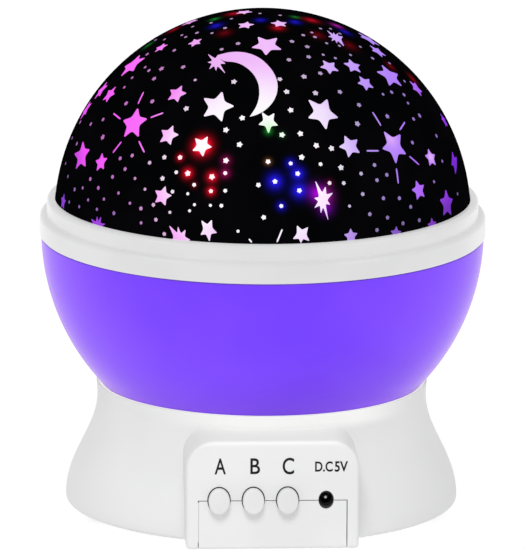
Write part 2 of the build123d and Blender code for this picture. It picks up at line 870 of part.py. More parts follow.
def switch_plunger(x):
    back = board_y - switch_skin - plunger_end_gap - button_travel
    return round_rod(x, parting_z, plunger_radius, switch_front - plunger_proud, back)


def push_button(x):
    """Oval cap with a flange that stops it behind the panel, and a stem to its switch."""
    front = face_y - button_proud
    cap = oval_rod(x, parting_z, button_width, button_height, front, inner_face_y)
    cap = fillet(cap.edges().sort_by(Axis.Y)[0], button_edge_round)
    back = inner_face_y + button_flange_thick
    cap += oval_rod(x, parting_z, button_width + 2 * button_flange, button_height + 2 * button_flange,
                    inner_face_y, back)
    return cap + round_rod(x, parting_z, button_stem_radius, back, switch_front - plunger_proud)


def dc_jack():
    body = slab(jack_place - jack_width / 2, jack_place + jack_width / 2, jack_front, board_y,
                parting_z - jack_height / 2, parting_z + jack_height / 2)
    lip_end = jack_front + jack_lip_depth
    body -= round_rod(jack_place, parting_z, jack_lip_radius, jack_front, lip_end)
    return body - round_rod(jack_place, parting_z, jack_bore_radius, lip_end, lip_end + jack_bore_depth)


def jack_pin():
    tip = jack_front + jack_lip_depth
    pin = round_rod(jack_place, parting_z, jack_pin_radius, tip, tip + jack_bore_depth)
    return fillet(pin.edges().sort_by(Axis.Y)[0], jack_pin_radius / 2)


def board_box(place, size):
    """Small component on the back of the board, at a place given from its middle."""
    back = board_y + board_thick
    x, z = place[0], parting_z + place[1]
    return slab(x - size[0] / 2, x + size[0] / 2, back, back + size[1], z - size[2] / 2, z + size[2] / 2)


def controller_chip():
    return board_box(chip_place, (chip_width, chip_depth, chip_height))


def smoothing_capacitor():
    back = board_y + board_thick
    x, z = capacitor_place
    can = round_rod(x, parting_z + z, capacitor_radius, back, back + capacitor_length)
    return fillet(can.edges().sort_by(Axis.Y)[-1], edge_break)


def resistors():
    return [board_box(place, resistor_size) for place in resistor_places]


# ---------------------------------------------------------------- export
def export_all():
    pieces = {
        "base_housing": base_housing(),
        "base_cover": base_cover(),
        "cover_screws": cover_screws(),
        "rubber_feet": rubber_feet(),
        "battery_door": battery_door(),
        "door_screws": door_screws(),
        "battery_cells": battery_cells(),
        "contact_springs": contact_springs(),
        "contact_plates": contact_plates(),
        "chassis_plate": chassis_plate(),
        "chassis_screws": chassis_screws(),
        "motor_case": motor_case(),
        "motor_screws": motor_screws(),
        "output_shaft": output_shaft(),
        "drive_pinion": drive_pinion(),
        "idler_gear": idler_gear(),
        "idler_axle": idler_axle(),
        "hub_gear": hub_gear(),
        "gear_screws": gear_screws(),
        "turntable_hub": turntable_hub(),
        "thrust_washer": thrust_washer(),
        "bowl_shell": bowl_shell(),
        "bowl_screws": bowl_screws(),
        "rim_collar": rim_collar(),
        "dome_ring": dome_ring(),
        "retainer_ring": retainer_ring(),
        "star_dome": star_dome(),
        "diffuser_dome": diffuser_dome(),
        "lamp_holder": lamp_holder(),
        "lamp_board": lamp_board(),
        "lamp_lead": lamp_lead(),
        "motor_lead": motor_lead(),
        "battery_lead": battery_lead(),
        "control_board": control_board(),
        "board_screws": board_screws(),
        "push_switches": push_switches(),
        "dc_jack": dc_jack(),
        "jack_pin": jack_pin(),
        "controller_chip": controller_chip(),
        "smoothing_capacitor": smoothing_capacitor(),
        "resistors": resistors(),
    }
    for colour, (x, y) in lamp_places.items():
        pieces[f"lamp_{colour}"] = lamp(x, y)
    for name, x in button_places.items():
        pieces[f"button_{name}"] = push_button(x)
        pieces[f"switch_plunger_{name}"] = switch_plunger(x)
    os.makedirs("parts", exist_ok=True)
    for name, piece in pieces.items():
        shape = Compound(children=piece) if isinstance(piece, list) else piece
        export_step(shape, f"parts/{name}.step")


export_all()
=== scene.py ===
import json

import bmesh
import bpy
import numpy as np
from mathutils import Matrix, Vector


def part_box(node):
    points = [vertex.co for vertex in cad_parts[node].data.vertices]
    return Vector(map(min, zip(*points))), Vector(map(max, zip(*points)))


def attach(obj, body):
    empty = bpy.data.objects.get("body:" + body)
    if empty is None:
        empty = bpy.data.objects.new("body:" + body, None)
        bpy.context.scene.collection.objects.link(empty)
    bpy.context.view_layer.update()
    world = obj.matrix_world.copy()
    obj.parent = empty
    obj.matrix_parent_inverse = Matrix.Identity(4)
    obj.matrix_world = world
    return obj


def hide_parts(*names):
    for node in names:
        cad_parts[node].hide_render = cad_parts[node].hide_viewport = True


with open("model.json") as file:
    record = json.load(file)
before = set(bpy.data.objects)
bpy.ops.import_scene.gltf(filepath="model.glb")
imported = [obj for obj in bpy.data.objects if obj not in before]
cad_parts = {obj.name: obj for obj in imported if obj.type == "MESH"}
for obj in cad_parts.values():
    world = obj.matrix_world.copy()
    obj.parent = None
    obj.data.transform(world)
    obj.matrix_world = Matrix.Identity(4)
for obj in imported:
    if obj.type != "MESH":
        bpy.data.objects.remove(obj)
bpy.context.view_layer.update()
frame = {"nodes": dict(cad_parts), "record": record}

# Lengths below are millimetres, and MM turns them into Blender's metres. Angles are degrees.
MM = 0.001
BASE, TURRET, DOME = "base", "turret", "dome"

# ---------------------------------------------------------------- camera
IMAGE_WIDE, IMAGE_HIGH = 525.0, 550.0
SENSOR = 36.0             # spans the image's taller side
LENS = 1140.0
CAMERA_FAR = 5000.0
CAMERA_TURN = -3.1
CAMERA_RISE = 13.2
CAMERA_ROLL = 0.3
AIM_HEIGHT = 67.8
CAMERA_SHIFT = 0.0004
FOCAL_PIXELS = LENS / SENSOR * IMAGE_HIGH


def aim_camera():
    """Camera's turned axes (sideways, up, back) and its place, for a lens that looks at the object's axis.

    Back is (sin t cos e, -cos t cos e, sin e) for turn t and rise e, up is square to it, and both are
    rolled about back."""
    turn, rise, roll = np.radians([CAMERA_TURN, CAMERA_RISE, CAMERA_ROLL])
    back = np.array([np.sin(turn) * np.cos(rise), -np.cos(turn) * np.cos(rise), np.sin(rise)])
    side = np.cross([0.0, 0.0, 1.0], back)
    side /= np.linalg.norm(side)
    up = np.cross(back, side)
    side, up = side * np.cos(roll) + up * np.sin(roll), up * np.cos(roll) - side * np.sin(roll)
    place = np.array([0.0, 0.0, AIM_HEIGHT]) + CAMERA_FAR * back
    return np.array([side, up, back]), place


CAMERA_AXES, CAMERA_PLACE = aim_camera()


def make_camera():
    lens = bpy.data.cameras.new("camera")
    lens.sensor_width = SENSOR
    lens.lens = LENS
    lens.shift_x = CAMERA_SHIFT
    lens.clip_start, lens.clip_end = 0.1, 60.0
    camera = bpy.data.objects.new("camera", lens)
    turned = Matrix(CAMERA_AXES.T.tolist()).to_4x4()
    camera.matrix_world = Matrix.Translation(Vector(CAMERA_PLACE * MM)) @ turned
    bpy.context.scene.collection.objects.link(camera)
    bpy.context.scene.camera = camera


make_camera()


# ---------------------------------------------------------------- shader sums
class Wire:
    """A shader socket that sums can be written with: each sign adds its node."""

    def __init__(self, paint, socket):
        self.paint, self.socket = paint, socket

    def math(self, operation, *others):
        return self.paint.node("ShaderNodeMath", {"operation": operation}, self, *others)

    def __add__(self, other):
        return self.math("ADD", other)

    def __sub__(self, other):
        return self.math("SUBTRACT", other)

    def __rsub__(self, other):
        return self.paint.node("ShaderNodeMath", {"operation": "SUBTRACT"}, other, self)

    def __mul__(self, other):
        return self.math("MULTIPLY", other)

    def __pow__(self, other):
        return self.math("POWER", other)

    def __neg__(self):
        return self * -1.0

    __radd__ = __add__
    __rmul__ = __mul__

    def step(self, low, high):
        """0 below low, 1 above high, with a soft ramp between."""
        settings = {"interpolation_type": "SMOOTHSTEP"}
        return self.paint.node("ShaderNodeMapRange", settings, self, low, high, 0.0, 1.0)


class Paint:
    """A material under its slot's name, with its Principled shader."""

    def __init__(self, name, colour=None, **constants):
        self.material = bpy.data.materials.new(name)
        self.material.use_nodes = True
        self.nodes = self.material.node_tree.nodes
        self.links = self.material.node_tree.links
        self.shader = self.nodes["Principled BSDF"]
        if colour is not None:
            self.shader.inputs["Base Color"].default_value = (*colour, 1.0)
            self.material.diffuse_color = (*colour, 1.0)
        for socket, value in constants.items():
            self.shader.inputs[socket.replace("_", " ")].default_value = value

    def node(self, kind, settings=None, *values, out=0, **named):
        """Adds a node: its settings first, then its sockets' values or links, by place or by name."""
        made = self.nodes.new(kind)
        for key, value in (settings or {}).items():
            if key == "stops":
                ramp = made.color_ramp
                while len(ramp.elements) < len(value):
                    ramp.elements.new(0.5)
                for element, (place, colour) in zip(ramp.elements, value):
                    element.position = place
                    element.color = (*colour, 1.0)
            else:
                setattr(made, key, value)
        open_sockets = [socket for socket in made.inputs if socket.enabled]
        pairs = list(zip(open_sockets, values))
        pairs += [(next(s for s in open_sockets if s.name == name), value) for name, value in named.items()]
        for socket, value in pairs:
            if isinstance(value, Wire):
                self.links.new(value.socket, socket)
            elif value is not None:
                if isinstance(value, tuple) and socket.type == "RGBA":
                    value = (*value, 1.0)[:4]
                socket.default_value = value
        shown = [socket for socket in made.outputs if socket.enabled]
        return Wire(self, shown[out] if isinstance(out, int) else made.outputs[out])

    def place(self):
        return self.node("ShaderNodeTexCoord", out="Object")

    def across(self):
        """The three coordinates of a point of the object, each a wire, in metres."""
        split = self.nodes.new("ShaderNodeSeparateXYZ")
        self.links.new(self.place().socket, split.inputs[0])
        return [Wire(self, socket) for socket in split.outputs]

    def noise(self, scale, detail=2.0, rough=0.5):
        """Cloudy noise, scale waves to the metre, from 0 to 1."""
        return self.node("ShaderNodeTexNoise", Vector=self.place(), Scale=scale, Detail=detail,
                         Roughness=rough)

    def mix(self, factor, first, second):
        return self.node("ShaderNodeMix", {"data_type": "RGBA"}, Factor=factor, A=first, B=second)

    def vector(self, operation, *values, out=0, **named):
        return self.node("ShaderNodeVectorMath", {"operation": operation}, *values, out=out, **named)

    def distance(self, centre):
        """Distance of a point of the object from a fixed point, in metres."""
        return self.vector("DISTANCE", self.place(), centre, out="Value")

    def glow(self, centre, width):
        """Bell curve exp(-(d / width)^1.65) of the distance d from a point."""
        return (-((self.distance(centre) * (1.0 / width)) ** 1.65)).math("EXPONENT")

    def feed(self, socket, wire):
        self.links.new(wire.socket, self.shader.inputs[socket])

    def bump(self, height, depth, strength=1.0):
        """Raises the surface by height (0 to 1) times depth in millimetres."""
        raised = self.node("ShaderNodeBump", Strength=strength, Distance=depth * MM, Height=height)
        self.feed("Normal", raised)

    def mottle(self, colour, other, scale, low=0.35, high=0.65):
        """Base colour that drifts between two shades in soft patches."""
        drift = self.noise(scale).step(low, high)
        self.feed("Base Color", self.mix(drift, colour, other))

    def uneven(self, low, high, scale):
        """Roughness that drifts between two values."""
        self.feed("Roughness", self.noise(scale, 3.0) * (high - low) + low)


def srgb(red, green, blue):
    """Shader colour of a screen colour given from 0 to 255."""
    shade = np.array([red, green, blue]) / 255.0
    return tuple(np.where(shade <= 0.04045, shade / 12.92, ((shade + 0.055) / 1.055) ** 2.4).tolist())


# ---------------------------------------------------------------- meshes
def merge(mesh, outwards=False):
    """Joins points that lie on each other, and turns the faces outwards if asked."""
    work = bmesh.new()
    work.from_mesh(mesh)
    bmesh.ops.remove_doubles(work, verts=work.verts, dist=0.002 * MM)
    if outwards:
        bmesh.ops.recalc_face_normals(work, faces=work.faces)
    work.to_mesh(mesh)
    work.free()


def new_piece(name, points, faces, paint, body, slot, nodes=(), flat_above=40.0):
    """A finished piece: points in millimetres, its faces merged and turned outwards."""
    mesh = bpy.data.meshes.new(name)
    mesh.from_pydata((np.asarray(points) * MM).tolist(), [], faces)
    merge(mesh, outwards=True)
    return dress(name, mesh, paint, body, nodes, flat_above)


def dress(name, mesh, paint, body, nodes, flat_above):
    """Shades a mesh smooth up to an angle, paints it and rides it on its body."""
    mesh.shade_smooth()
    mesh.set_sharp_from_angle(angle=np.radians(flat_above))
    mesh.materials.clear()
    mesh.materials.append(paint.material)
    piece = bpy.data.objects.new(name, mesh)
    bpy.context.scene.collection.objects.link(piece)
    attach(piece, body)
    if nodes:
        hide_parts(*nodes)
    return piece


def grid_faces(rows, columns, close_rows=False, close_columns=False):
    """Four-sided faces over a grid of points, row by row, wrapped round where it closes."""
    down = np.arange(rows if close_rows else rows - 1)
    along = np.arange(columns if close_columns else columns - 1)
    i, j = np.meshgrid(down, along, indexing="ij")
    i2, j2 = (i + 1) % rows, (j + 1) % columns
    corners = np.stack([i * columns + j, i * columns + j2, i2 * columns + j2, i2 * columns + j], axis=-1)
    return corners.reshape(-1, 4)


def turned(profile, steps=256):
    """Points and faces of a closed profile of (radius, height) turned round the Z axis.

    A point at angle a is (r cos a, r sin a, z). The profile's end joins its start."""
    profile = np.asarray(profile, dtype=float)
    angle = np.linspace(0.0, 2 * np.pi, steps, endpoint=False)
    radius, height = profile[:, 0][:, None], profile[:, 1][:, None]
    points = np.stack([radius * np.cos(angle), radius * np.sin(angle), height + 0 * angle], axis=-1)
    faces = grid_faces(len(profile), steps, close_rows=True, close_columns=True)
    return points.reshape(-1, 3), faces.tolist()


def arc(centre, radius, start, end, count):
    """Points on an arc, from one angle to another, the angles measured from +radius towards +Z."""
    angle = np.radians(np.linspace(start, end, count))
    return np.stack([centre[0] + radius * np.cos(angle), centre[1] + radius * np.sin(angle)], axis=-1)


def smooth_copy(name, node, paint, body, flat_above=32.0):
    """A merged copy of a CAD node's mesh, shaded smooth, which replaces the node."""
    mesh = frame["nodes"][node].data.copy()
    mesh.name = name
    merge(mesh)
    if mesh.has_custom_normals:
        mesh.attributes.remove(mesh.attributes["custom_normal"])
    return dress(name, mesh, paint, body, [node], flat_above)


# ---------------------------------------------------------------- sizes
X, Y, Z = 0, 1, 2


def low_end(node, axis):
    """Where a node starts along an axis, in millimetres."""
    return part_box(node)[0][axis] / MM


def high_end(node, axis):
    """Where a node ends along an axis, in millimetres."""
    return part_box(node)[1][axis] / MM


def middle_of(node, axis):
    return (low_end(node, axis) + high_end(node, axis)) / 2


BOWL_LOW, BOWL_MOUTH = low_end("bowl_shell", Z), high_end("bowl_shell", Z)
BOWL_RADIUS = 63.5
BALL_HEIGHT = BOWL_MOUTH + 1.1   # middle of the bowl's ball
BOWL_WALL = 2.0
HUB_HOLE = 9.75
LIP_HIGH = high_end("base_housing", Z)   # top of the base's lip, which reaches in to the bowl
LIP_PROFILE = [           # steps from the bowl's skin at that height: outwards, and up
    (0.1, -0.5), (0.9, -0.6), (0.9, 0.02), (0.3, 0.05), (0.12, -0.08),
]
SHADE_LINE_INNER, SHADE_LINE_OUTER = 63.3, 63.52   # radii of the dark band of painted shade under the rim
SHADE_LINE_LOW, SHADE_LINE_HIGH = BOWL_MOUTH - 0.38, BOWL_MOUTH - 0.03
WINDOW_RADIUS = 59.8      # face of the clear windows
MASK_RADIUS = 59.74       # face of the black mask round them
SUNK_RADIUS = 59.54       # foot of the windows' edges, inside the mask
DOME_WALL = 1.2
DOME_LOW = low_end("star_dome", Z)
DOME_HEIGHT = high_end("star_dome", Z) - WINDOW_RADIUS   # middle of the dome's ball
DOME_MIDDLE = np.array([0.0, 0.0, DOME_HEIGHT])
PANEL_FACE = low_end("base_housing", Y)

# ---------------------------------------------------------------- finishes
SHELL_WHITES = (srgb(225, 225, 225), srgb(221, 221, 222))
SHELL_PATCHES = 28.0      # waves to the metre of their drift


def shell_plastic(name):
    """White moulded plastic with uneven gloss and a fine grain."""
    paint = Paint(name, srgb(224, 224, 224), Roughness=0.4, Specular_IOR_Level=0.2)
    paint.uneven(0.34, 0.46, 60.0)
    paint.bump(paint.noise(2600.0), 0.012, 0.35)
    return paint


def flared_base_plastic():
    """White plastic with painted light: a brighter patch on the front of the flare, just under the bowl."""
    paint = shell_plastic("base_white")
    east, north, height = paint.across()
    in_front = 1 - north.step(-40 * MM, -15 * MM)
    in_middle = 1 - (east - 8 * MM).math("ABSOLUTE").step(16 * MM, 44 * MM)
    # Painted light: the front of the flare under the bowl is made brighter.
    painted_light_patch = height.step(31.5 * MM, 35 * MM) * in_middle * in_front
    patches = paint.mix(paint.noise(SHELL_PATCHES).step(0.35, 0.65), *SHELL_WHITES)
    paint.feed("Base Color", paint.mix(painted_light_patch, patches, srgb(242, 242, 241)))
    return paint


white_shell = shell_plastic("white_shell")
white_shell.mottle(*SHELL_WHITES, SHELL_PATCHES)
base_white = flared_base_plastic()

# The band's white is darker and glows a little by its own light: painted light that evens out its shade.
band_white = Paint("band_white", srgb(185, 185, 185), Roughness=0.3, Specular_IOR_Level=0.35,
                   Emission_Color=(1.0, 1.0, 1.0, 1.0), Emission_Strength=0.25)
band_white.mottle(srgb(186, 186, 186), srgb(181, 181, 182), 35.0)
band_white.uneven(0.25, 0.36, 70.0)

button_white = Paint("button_white", srgb(218, 218, 218), Roughness=0.45, Specular_IOR_Level=0.3)
button_white.mottle(srgb(220, 220, 220), srgb(215, 215, 216), 90.0)
button_white.bump(button_white.noise(3200.0), 0.01, 0.3)

violet_shell = Paint("purple_shell", srgb(97, 44, 240), Roughness=0.22, Specular_IOR_Level=0.15,
                     Sheen_Weight=0.32, Sheen_Roughness=0.7, Sheen_Tint=(1.0, 0.42, 1.0, 1.0))
violet_shell.mottle(srgb(101, 48, 243), srgb(92, 40, 237), 22.0)
violet_shell.uneven(0.18, 0.27, 25.0)

# Black of the printed letters, and also of the painted shade in the gaps round the buttons.
ink = Paint("ink", srgb(28, 28, 30), Roughness=0.7, Specular_IOR_Level=0.1)
ink.mottle(srgb(26, 26, 28), srgb(34, 34, 37), 900.0)

# The lip's white glows a little by its own light and is tinted violet: painted light, lifting the shade at
# the lip like light thrown from the bowl.
lip_white = Paint("lip_white", srgb(235, 228, 240), Roughness=0.4, Specular_IOR_Level=0.2,
                  Emission_Color=(1.0, 0.93, 1.0, 1.0), Emission_Strength=0.18)
lip_white.mottle(srgb(235, 228, 240), srgb(230, 224, 236), 40.0)

# Dark violet of painted shade: the shadow line that the rim casts on the bowl.
shade_line_violet = Paint("rim_shade_paint", srgb(98, 62, 182), Roughness=0.5, Specular_IOR_Level=0.1)
shade_line_violet.mottle(srgb(98, 62, 182), srgb(106, 68, 194), 40.0)

# Finishes of the record's other slots: colour, roughness and how metallic.
PLAIN = {
    "inner_white": (srgb(226, 226, 222), 0.5, 0.0),
    "nylon": (srgb(232, 229, 216), 0.45, 0.0),
    "rubber": (srgb(58, 58, 60), 0.8, 0.0),
    "steel": (srgb(176, 178, 182), 0.28, 1.0),
    "motor_steel": (srgb(160, 161, 163), 0.36, 1.0),
    "cell_wrap": (srgb(42, 46, 60), 0.35, 0.0),
    "board_green": (srgb(28, 96, 58), 0.42, 0.0),
    "black_plastic": (srgb(22, 22, 24), 0.4, 0.0),
    "chip": (srgb(32, 33, 36), 0.5, 0.0),
    "capacitor_sleeve": (srgb(36, 44, 92), 0.35, 0.0),
    "lead_sleeve": (srgb(208, 208, 204), 0.45, 0.0),
    "frosted": (srgb(236, 234, 240), 0.6, 0.0),
    "lamp_warm": (srgb(255, 236, 190), 0.2, 0.0),
    "lamp_red": (srgb(214, 30, 30), 0.2, 0.0),
    "lamp_green": (srgb(30, 190, 60), 0.2, 0.0),
    "lamp_blue": (srgb(40, 60, 230), 0.2, 0.0),
}


def plain_finish(name, colour, rough, metal):
    """Moulded plastic, rubber or metal with a slight drift of shade, uneven gloss and a fine grain."""
    paint = Paint(name, colour, Roughness=rough, Metallic=metal)
    darker = tuple(0.86 * value for value in colour)
    paint.mottle(colour, darker, 120.0)
    paint.uneven(rough * 0.85, min(1.0, rough * 1.2), 300.0)
    paint.bump(paint.noise(2400.0), 0.01, 0.3)
    return paint


finishes = {name: plain_finish(name, *values) for name, values in PLAIN.items()}
finishes["white_shell"] = white_shell
finishes["purple_shell"] = violet_shell

slot_of = {row["node"]: row["material_slot"] for row in frame["record"]["subparts"]}
for node, cad in frame["nodes"].items():
    paint = finishes.get(slot_of[node])
    if paint is not None:
        cad.data.materials.clear()
        cad.data.materials.append(paint.material)

# ---------------------------------------------------------------- base
smooth_copy("base_body", "base_housing", base_white, BASE)
smooth_copy("base_floor", "base_cover", white_shell, BASE)
for letter in "abc":
    smooth_copy(f"button_cap_{letter}", f"button_{letter}", button_white, f"button_{letter}")


# ---------------------------------------------------------------- bowl, rim and ring
def ball_angle(height, middle, radius):
    """Angle above level at which a ball reaches a height: arcsine of (height - middle) / radius."""
    return np.degrees(np.arcsin((height - middle) / radius))


def bowl_profile():
    """Ball's arc from the flat floor's edge up to the mouth, and back down a wall's thickness inside it."""
    inner_radius, floor = BOWL_RADIUS - BOWL_WALL, BOWL_LOW + BOWL_WALL
    low, high = [ball_angle(height, BALL_HEIGHT, BOWL_RADIUS) for height in (BOWL_LOW, BOWL_MOUTH)]
    outer = arc((0, BALL_HEIGHT), BOWL_RADIUS, low, high, 72)
    low, high = [ball_angle(height, BALL_HEIGHT, inner_radius) for height in (floor, BOWL_MOUTH)]
    inner = arc((0, BALL_HEIGHT), inner_radius, high, low, 60)
    return np.concatenate([[(HUB_HOLE, BOWL_LOW)], outer, inner, [(HUB_HOLE, floor)]])


def lip_profile():
    """The lip's profile, set out from the radius that the bowl has at the lip's height."""
    bowl_there = np.sqrt(BOWL_RADIUS**2 - (BALL_HEIGHT - LIP_HIGH) ** 2)
    return [(bowl_there + out, LIP_HIGH + up) for out, up in LIP_PROFILE]


new_piece("bowl_skin", *turned(bowl_profile()), violet_shell, TURRET, "purple_shell", ["bowl_shell"])
new_piece("well_lip", *turned(lip_profile()), lip_white, BASE, "white_shell")
# A thin dark band just under the rim: painted shade in place of the rim's shadow line.
shade_line_profile = [(SHADE_LINE_INNER, SHADE_LINE_LOW), (SHADE_LINE_OUTER, SHADE_LINE_LOW), (SHADE_LINE_OUTER, SHADE_LINE_HIGH),
                  (SHADE_LINE_INNER, SHADE_LINE_HIGH)]
new_piece("rim_groove", *turned(shade_line_profile), shade_line_violet, TURRET, "purple_shell")
smooth_copy("rim_band", "rim_collar", band_white, TURRET)
smooth_copy("ring_band", "dome_ring", band_white, DOME)


# ---------------------------------------------------------------- stars on the dome
def on_dome(pixels):
    """Where the camera's rays through pixels meet the dome's windows, in millimetres.

    A ray is place + t * direction; the nearer root of |ray - middle| = radius is taken, and a ray that
    just misses the ball takes the ball's nearest point."""
    pixels = np.atleast_2d(np.asarray(pixels, dtype=float))
    right = (pixels[:, 0] - IMAGE_WIDE / 2 + CAMERA_SHIFT * IMAGE_HIGH) / FOCAL_PIXELS
    up = (IMAGE_HIGH / 2 - pixels[:, 1]) / FOCAL_PIXELS
    ray = right[:, None] * CAMERA_AXES[0] + up[:, None] * CAMERA_AXES[1] - CAMERA_AXES[2]
    ray /= np.linalg.norm(ray, axis=1, keepdims=True)
    start = CAMERA_PLACE - DOME_MIDDLE
    along = ray @ start
    inside = along**2 - (start @ start - WINDOW_RADIUS**2)
    travel = -along - np.sqrt(np.maximum(inside, 0.0))
    hit = start + travel[:, None] * ray
    return DOME_MIDDLE + hit * (WINDOW_RADIUS / np.linalg.norm(hit, axis=1, keepdims=True))


def flat_axes(point):
    """Three unit vectors at a point of the dome: sideways, up towards the pole, and outwards."""
    out = (point - DOME_MIDDLE) / WINDOW_RADIUS
    side = np.cross([0.0, 0.0, 1.0], out)
    side /= max(np.linalg.norm(side), 1e-6)
    return side, np.cross(out, side), out


def corner_cut(outline, rounds, share=0.13):
    """Closed outline with its corners cut at a share of each side from both of its ends, rounds times."""
    for _ in range(rounds):
        ahead = np.roll(outline, -1, axis=0)
        near, far = outline + share * (ahead - outline), ahead + share * (outline - ahead)
        outline = np.stack([near, far], axis=1).reshape(-1, 2)
    return outline


def star_outline(tips, waist, rounds=2, share=0.13):
    """Closed outline through tips, sorted round the middle, with a notch between each two.

    A notch lies at the middle angle of its tips, at waist times the shorter of their reaches."""
    angle = np.arctan2(tips[:, 1], tips[:, 0])
    order = np.argsort(angle)
    angle, reach = angle[order], np.linalg.norm(tips[order], axis=1)
    next_angle = np.append(angle[1:], angle[0] + 2 * np.pi)
    middle = (angle + next_angle) / 2
    notch = waist * np.minimum(reach, np.roll(reach, -1))
    angles = np.stack([angle, middle], axis=1).ravel()
    reaches = np.stack([reach, notch], axis=1).ravel()
    outline = np.stack([reaches * np.cos(angles), reaches * np.sin(angles)], axis=-1)
    return corner_cut(outline, rounds, share)


def five_tips(reach, tilt):
    """Five even tips at a reach, the first at an angle from sideways, in degrees."""
    angle = np.radians(tilt + 72.0 * np.arange(5))
    return reach * np.stack([np.cos(angle), np.sin(angle)], axis=-1)


PIXEL = CAMERA_FAR / FOCAL_PIXELS   # millimetres that a pixel spans at the object
FAT = 0.50                          # notch of a plain star, as a share of its tips' reach
TIP_GROW = 1.06                     # tips are set out past where the corner cuts bring them back
RING_STEP = 1.7                     # widest step between the rings of a shape, so that it follows the ball


class Shapes:
    """Outlines laid on the dome, gathered for one mesh."""

    def __init__(self):
        self.centres, self.outlines = [], []

    def lay(self, centre, outline):
        self.centres.append(centre)
        self.outlines.append(outline)

    def tips(self, middle, tips, waist=FAT, rounds=2):
        """A star by its middle and tips in pixels; one tip alone gives an even star of five."""
        centre = on_dome(middle)[0]
        side, up, _ = flat_axes(centre)
        ends = on_dome(tips) - centre
        ends = np.stack([ends @ side, ends @ up], axis=-1) * TIP_GROW
        if len(ends) == 1:
            reach, tilt = np.linalg.norm(ends[0]), np.degrees(np.arctan2(ends[0, 1], ends[0, 0]))
            ends = five_tips(reach, tilt)
        self.lay(centre, star_outline(ends, waist, rounds))

    def even(self, middle, reach, tilt=90.0, waist=FAT):
        """An even star of five by its middle and reach in pixels."""
        self.lay(on_dome(middle)[0], star_outline(five_tips(reach * PIXEL * TIP_GROW, tilt), waist))

    def dot(self, middle, reach, waist, rounds):
        """A tiny blunt star, tilted by its place; its notches are shallow, so that it looks almost round."""
        tips = five_tips(reach * PIXEL * TIP_GROW, 37.0 * middle[0])
        self.lay(on_dome(middle)[0], star_outline(tips, waist, rounds, 0.2))

    def ray(self, start, end, width=0.8):
        """A thin bar with round ends between two pixels: half width * sqrt(1 - (2t - 1)^8) along it."""
        centre = on_dome([(np.array(start) + end) / 2])[0]
        side, up, _ = flat_axes(centre)
        ends = on_dome([start, end]) - centre
        flat = np.stack([ends @ side, ends @ up], axis=-1)
        run = flat[1] - flat[0]
        square = np.array([-run[1], run[0]]) / np.linalg.norm(run)
        t = 0.5 - 0.5 * np.cos(np.linspace(0, np.pi, 10))
        half = (width * PIXEL * np.sqrt(1 - (2 * t - 1) ** 8))[:, None]
        spine = flat[0] + t[:, None] * run
        self.lay(centre, np.concatenate([spine - half * square, (spine + half * square)[-2:0:-1]]))

    def turned_round(self):
        """These shapes and their copies half round the Z axis, but no copy that would lie on another or
        that the camera would see past the edge."""
        reaches = np.array([np.linalg.norm(outline, axis=1).max() for outline in self.outlines])
        front = np.array(self.centres)
        back = front * [-1, -1, 1]
        apart = np.linalg.norm(back[:, None] - front[None], axis=2)
        clear = (apart > reaches[:, None] + reaches[None] + 0.4).all(axis=1)
        clear &= (back - DOME_MIDDLE) @ CAMERA_AXES[2] < -1.0
        for index in np.flatnonzero(clear):
            self.lay(back[index], self.outlines[index])

    def mesh(self):
        """Points and faces: each outline in even rings round its middle, pressed onto the windows' ball,
        with a skirt down into the mask and a flat floor."""
        points, faces, used = [], [], 0
        for centre, outline in zip(self.centres, self.outlines):
            count = len(outline)
            steps = max(1, int(np.ceil(np.linalg.norm(outline, axis=1).max() / RING_STEP)))
            side, up, out = flat_axes(centre)
            rings = (np.arange(1, steps + 1)[:, None, None] / steps * outline).reshape(-1, 2)
            away = centre + rings[:, :1] * side + rings[:, 1:] * up - DOME_MIDDLE
            away /= np.linalg.norm(away, axis=1, keepdims=True)
            away = np.concatenate([out[None], away])
            points += [DOME_MIDDLE + away * WINDOW_RADIUS, DOME_MIDDLE + away[-count:] * SUNK_RADIUS]
            ring = np.arange(count)
            first = used + 1
            faces += np.stack([0 * ring + used, first + ring, first + (ring + 1) % count], axis=1).tolist()
            faces += (grid_faces(steps + 1, count, close_columns=True) + first).tolist()
            faces.append((first + steps * count + ring[::-1]).tolist())
            used = first + (steps + 1) * count
        return np.concatenate(points), faces


# Even stars: middle, and one tip.
TIPPED_STARS = [
    ((176.7, 93.9), (181.8, 85.7)), ((168.6, 135.3), (173, 125.6)), ((350, 146.3), (344.6, 135.8)),
    ((430.9, 157.8), (428.2, 148.7)), ((100.9, 162.3), (102.2, 153.2)), ((162.4, 196), (165.3, 186.3)),
]
# Even stars: middle and reach, with the tilt of one tip.
SIZED_STARS = [
    ((190, 22), 9, 80), ((160.9, 47.4), 7.6, 60), ((195.1, 42.3), 7.5, 75), ((132.3, 64.8), 16, 60),
    ((101.2, 90.3), 11, 50), ((109.4, 94.4), 10, 20), ((85.9, 109.7), 11, 60), ((244.1, 12), 8.5, 90),
    ((245.6, 25), 8.5, 100), ((279.3, 23.5), 8.5, 80), ((329.3, 66.8), 10, 100), ((352.9, 66), 10, 70),
    ((365.4, 83.2), 9.5, 95), ((377.8, 51.2), 10, 80), ((368.7, 39.2), 13, 60), ((416.5, 88), 10, 100),
    ((444.3, 120.5), 8, 80), ((418.9, 190.3), 10, 95), ((447.1, 203.7), 14, 80), ((351, 236.2), 7.5, 90),
    ((396, 233.4), 7, 80), ((432.3, 225.3), 7.5, 90), ((63, 201.6), 8, 90),
]
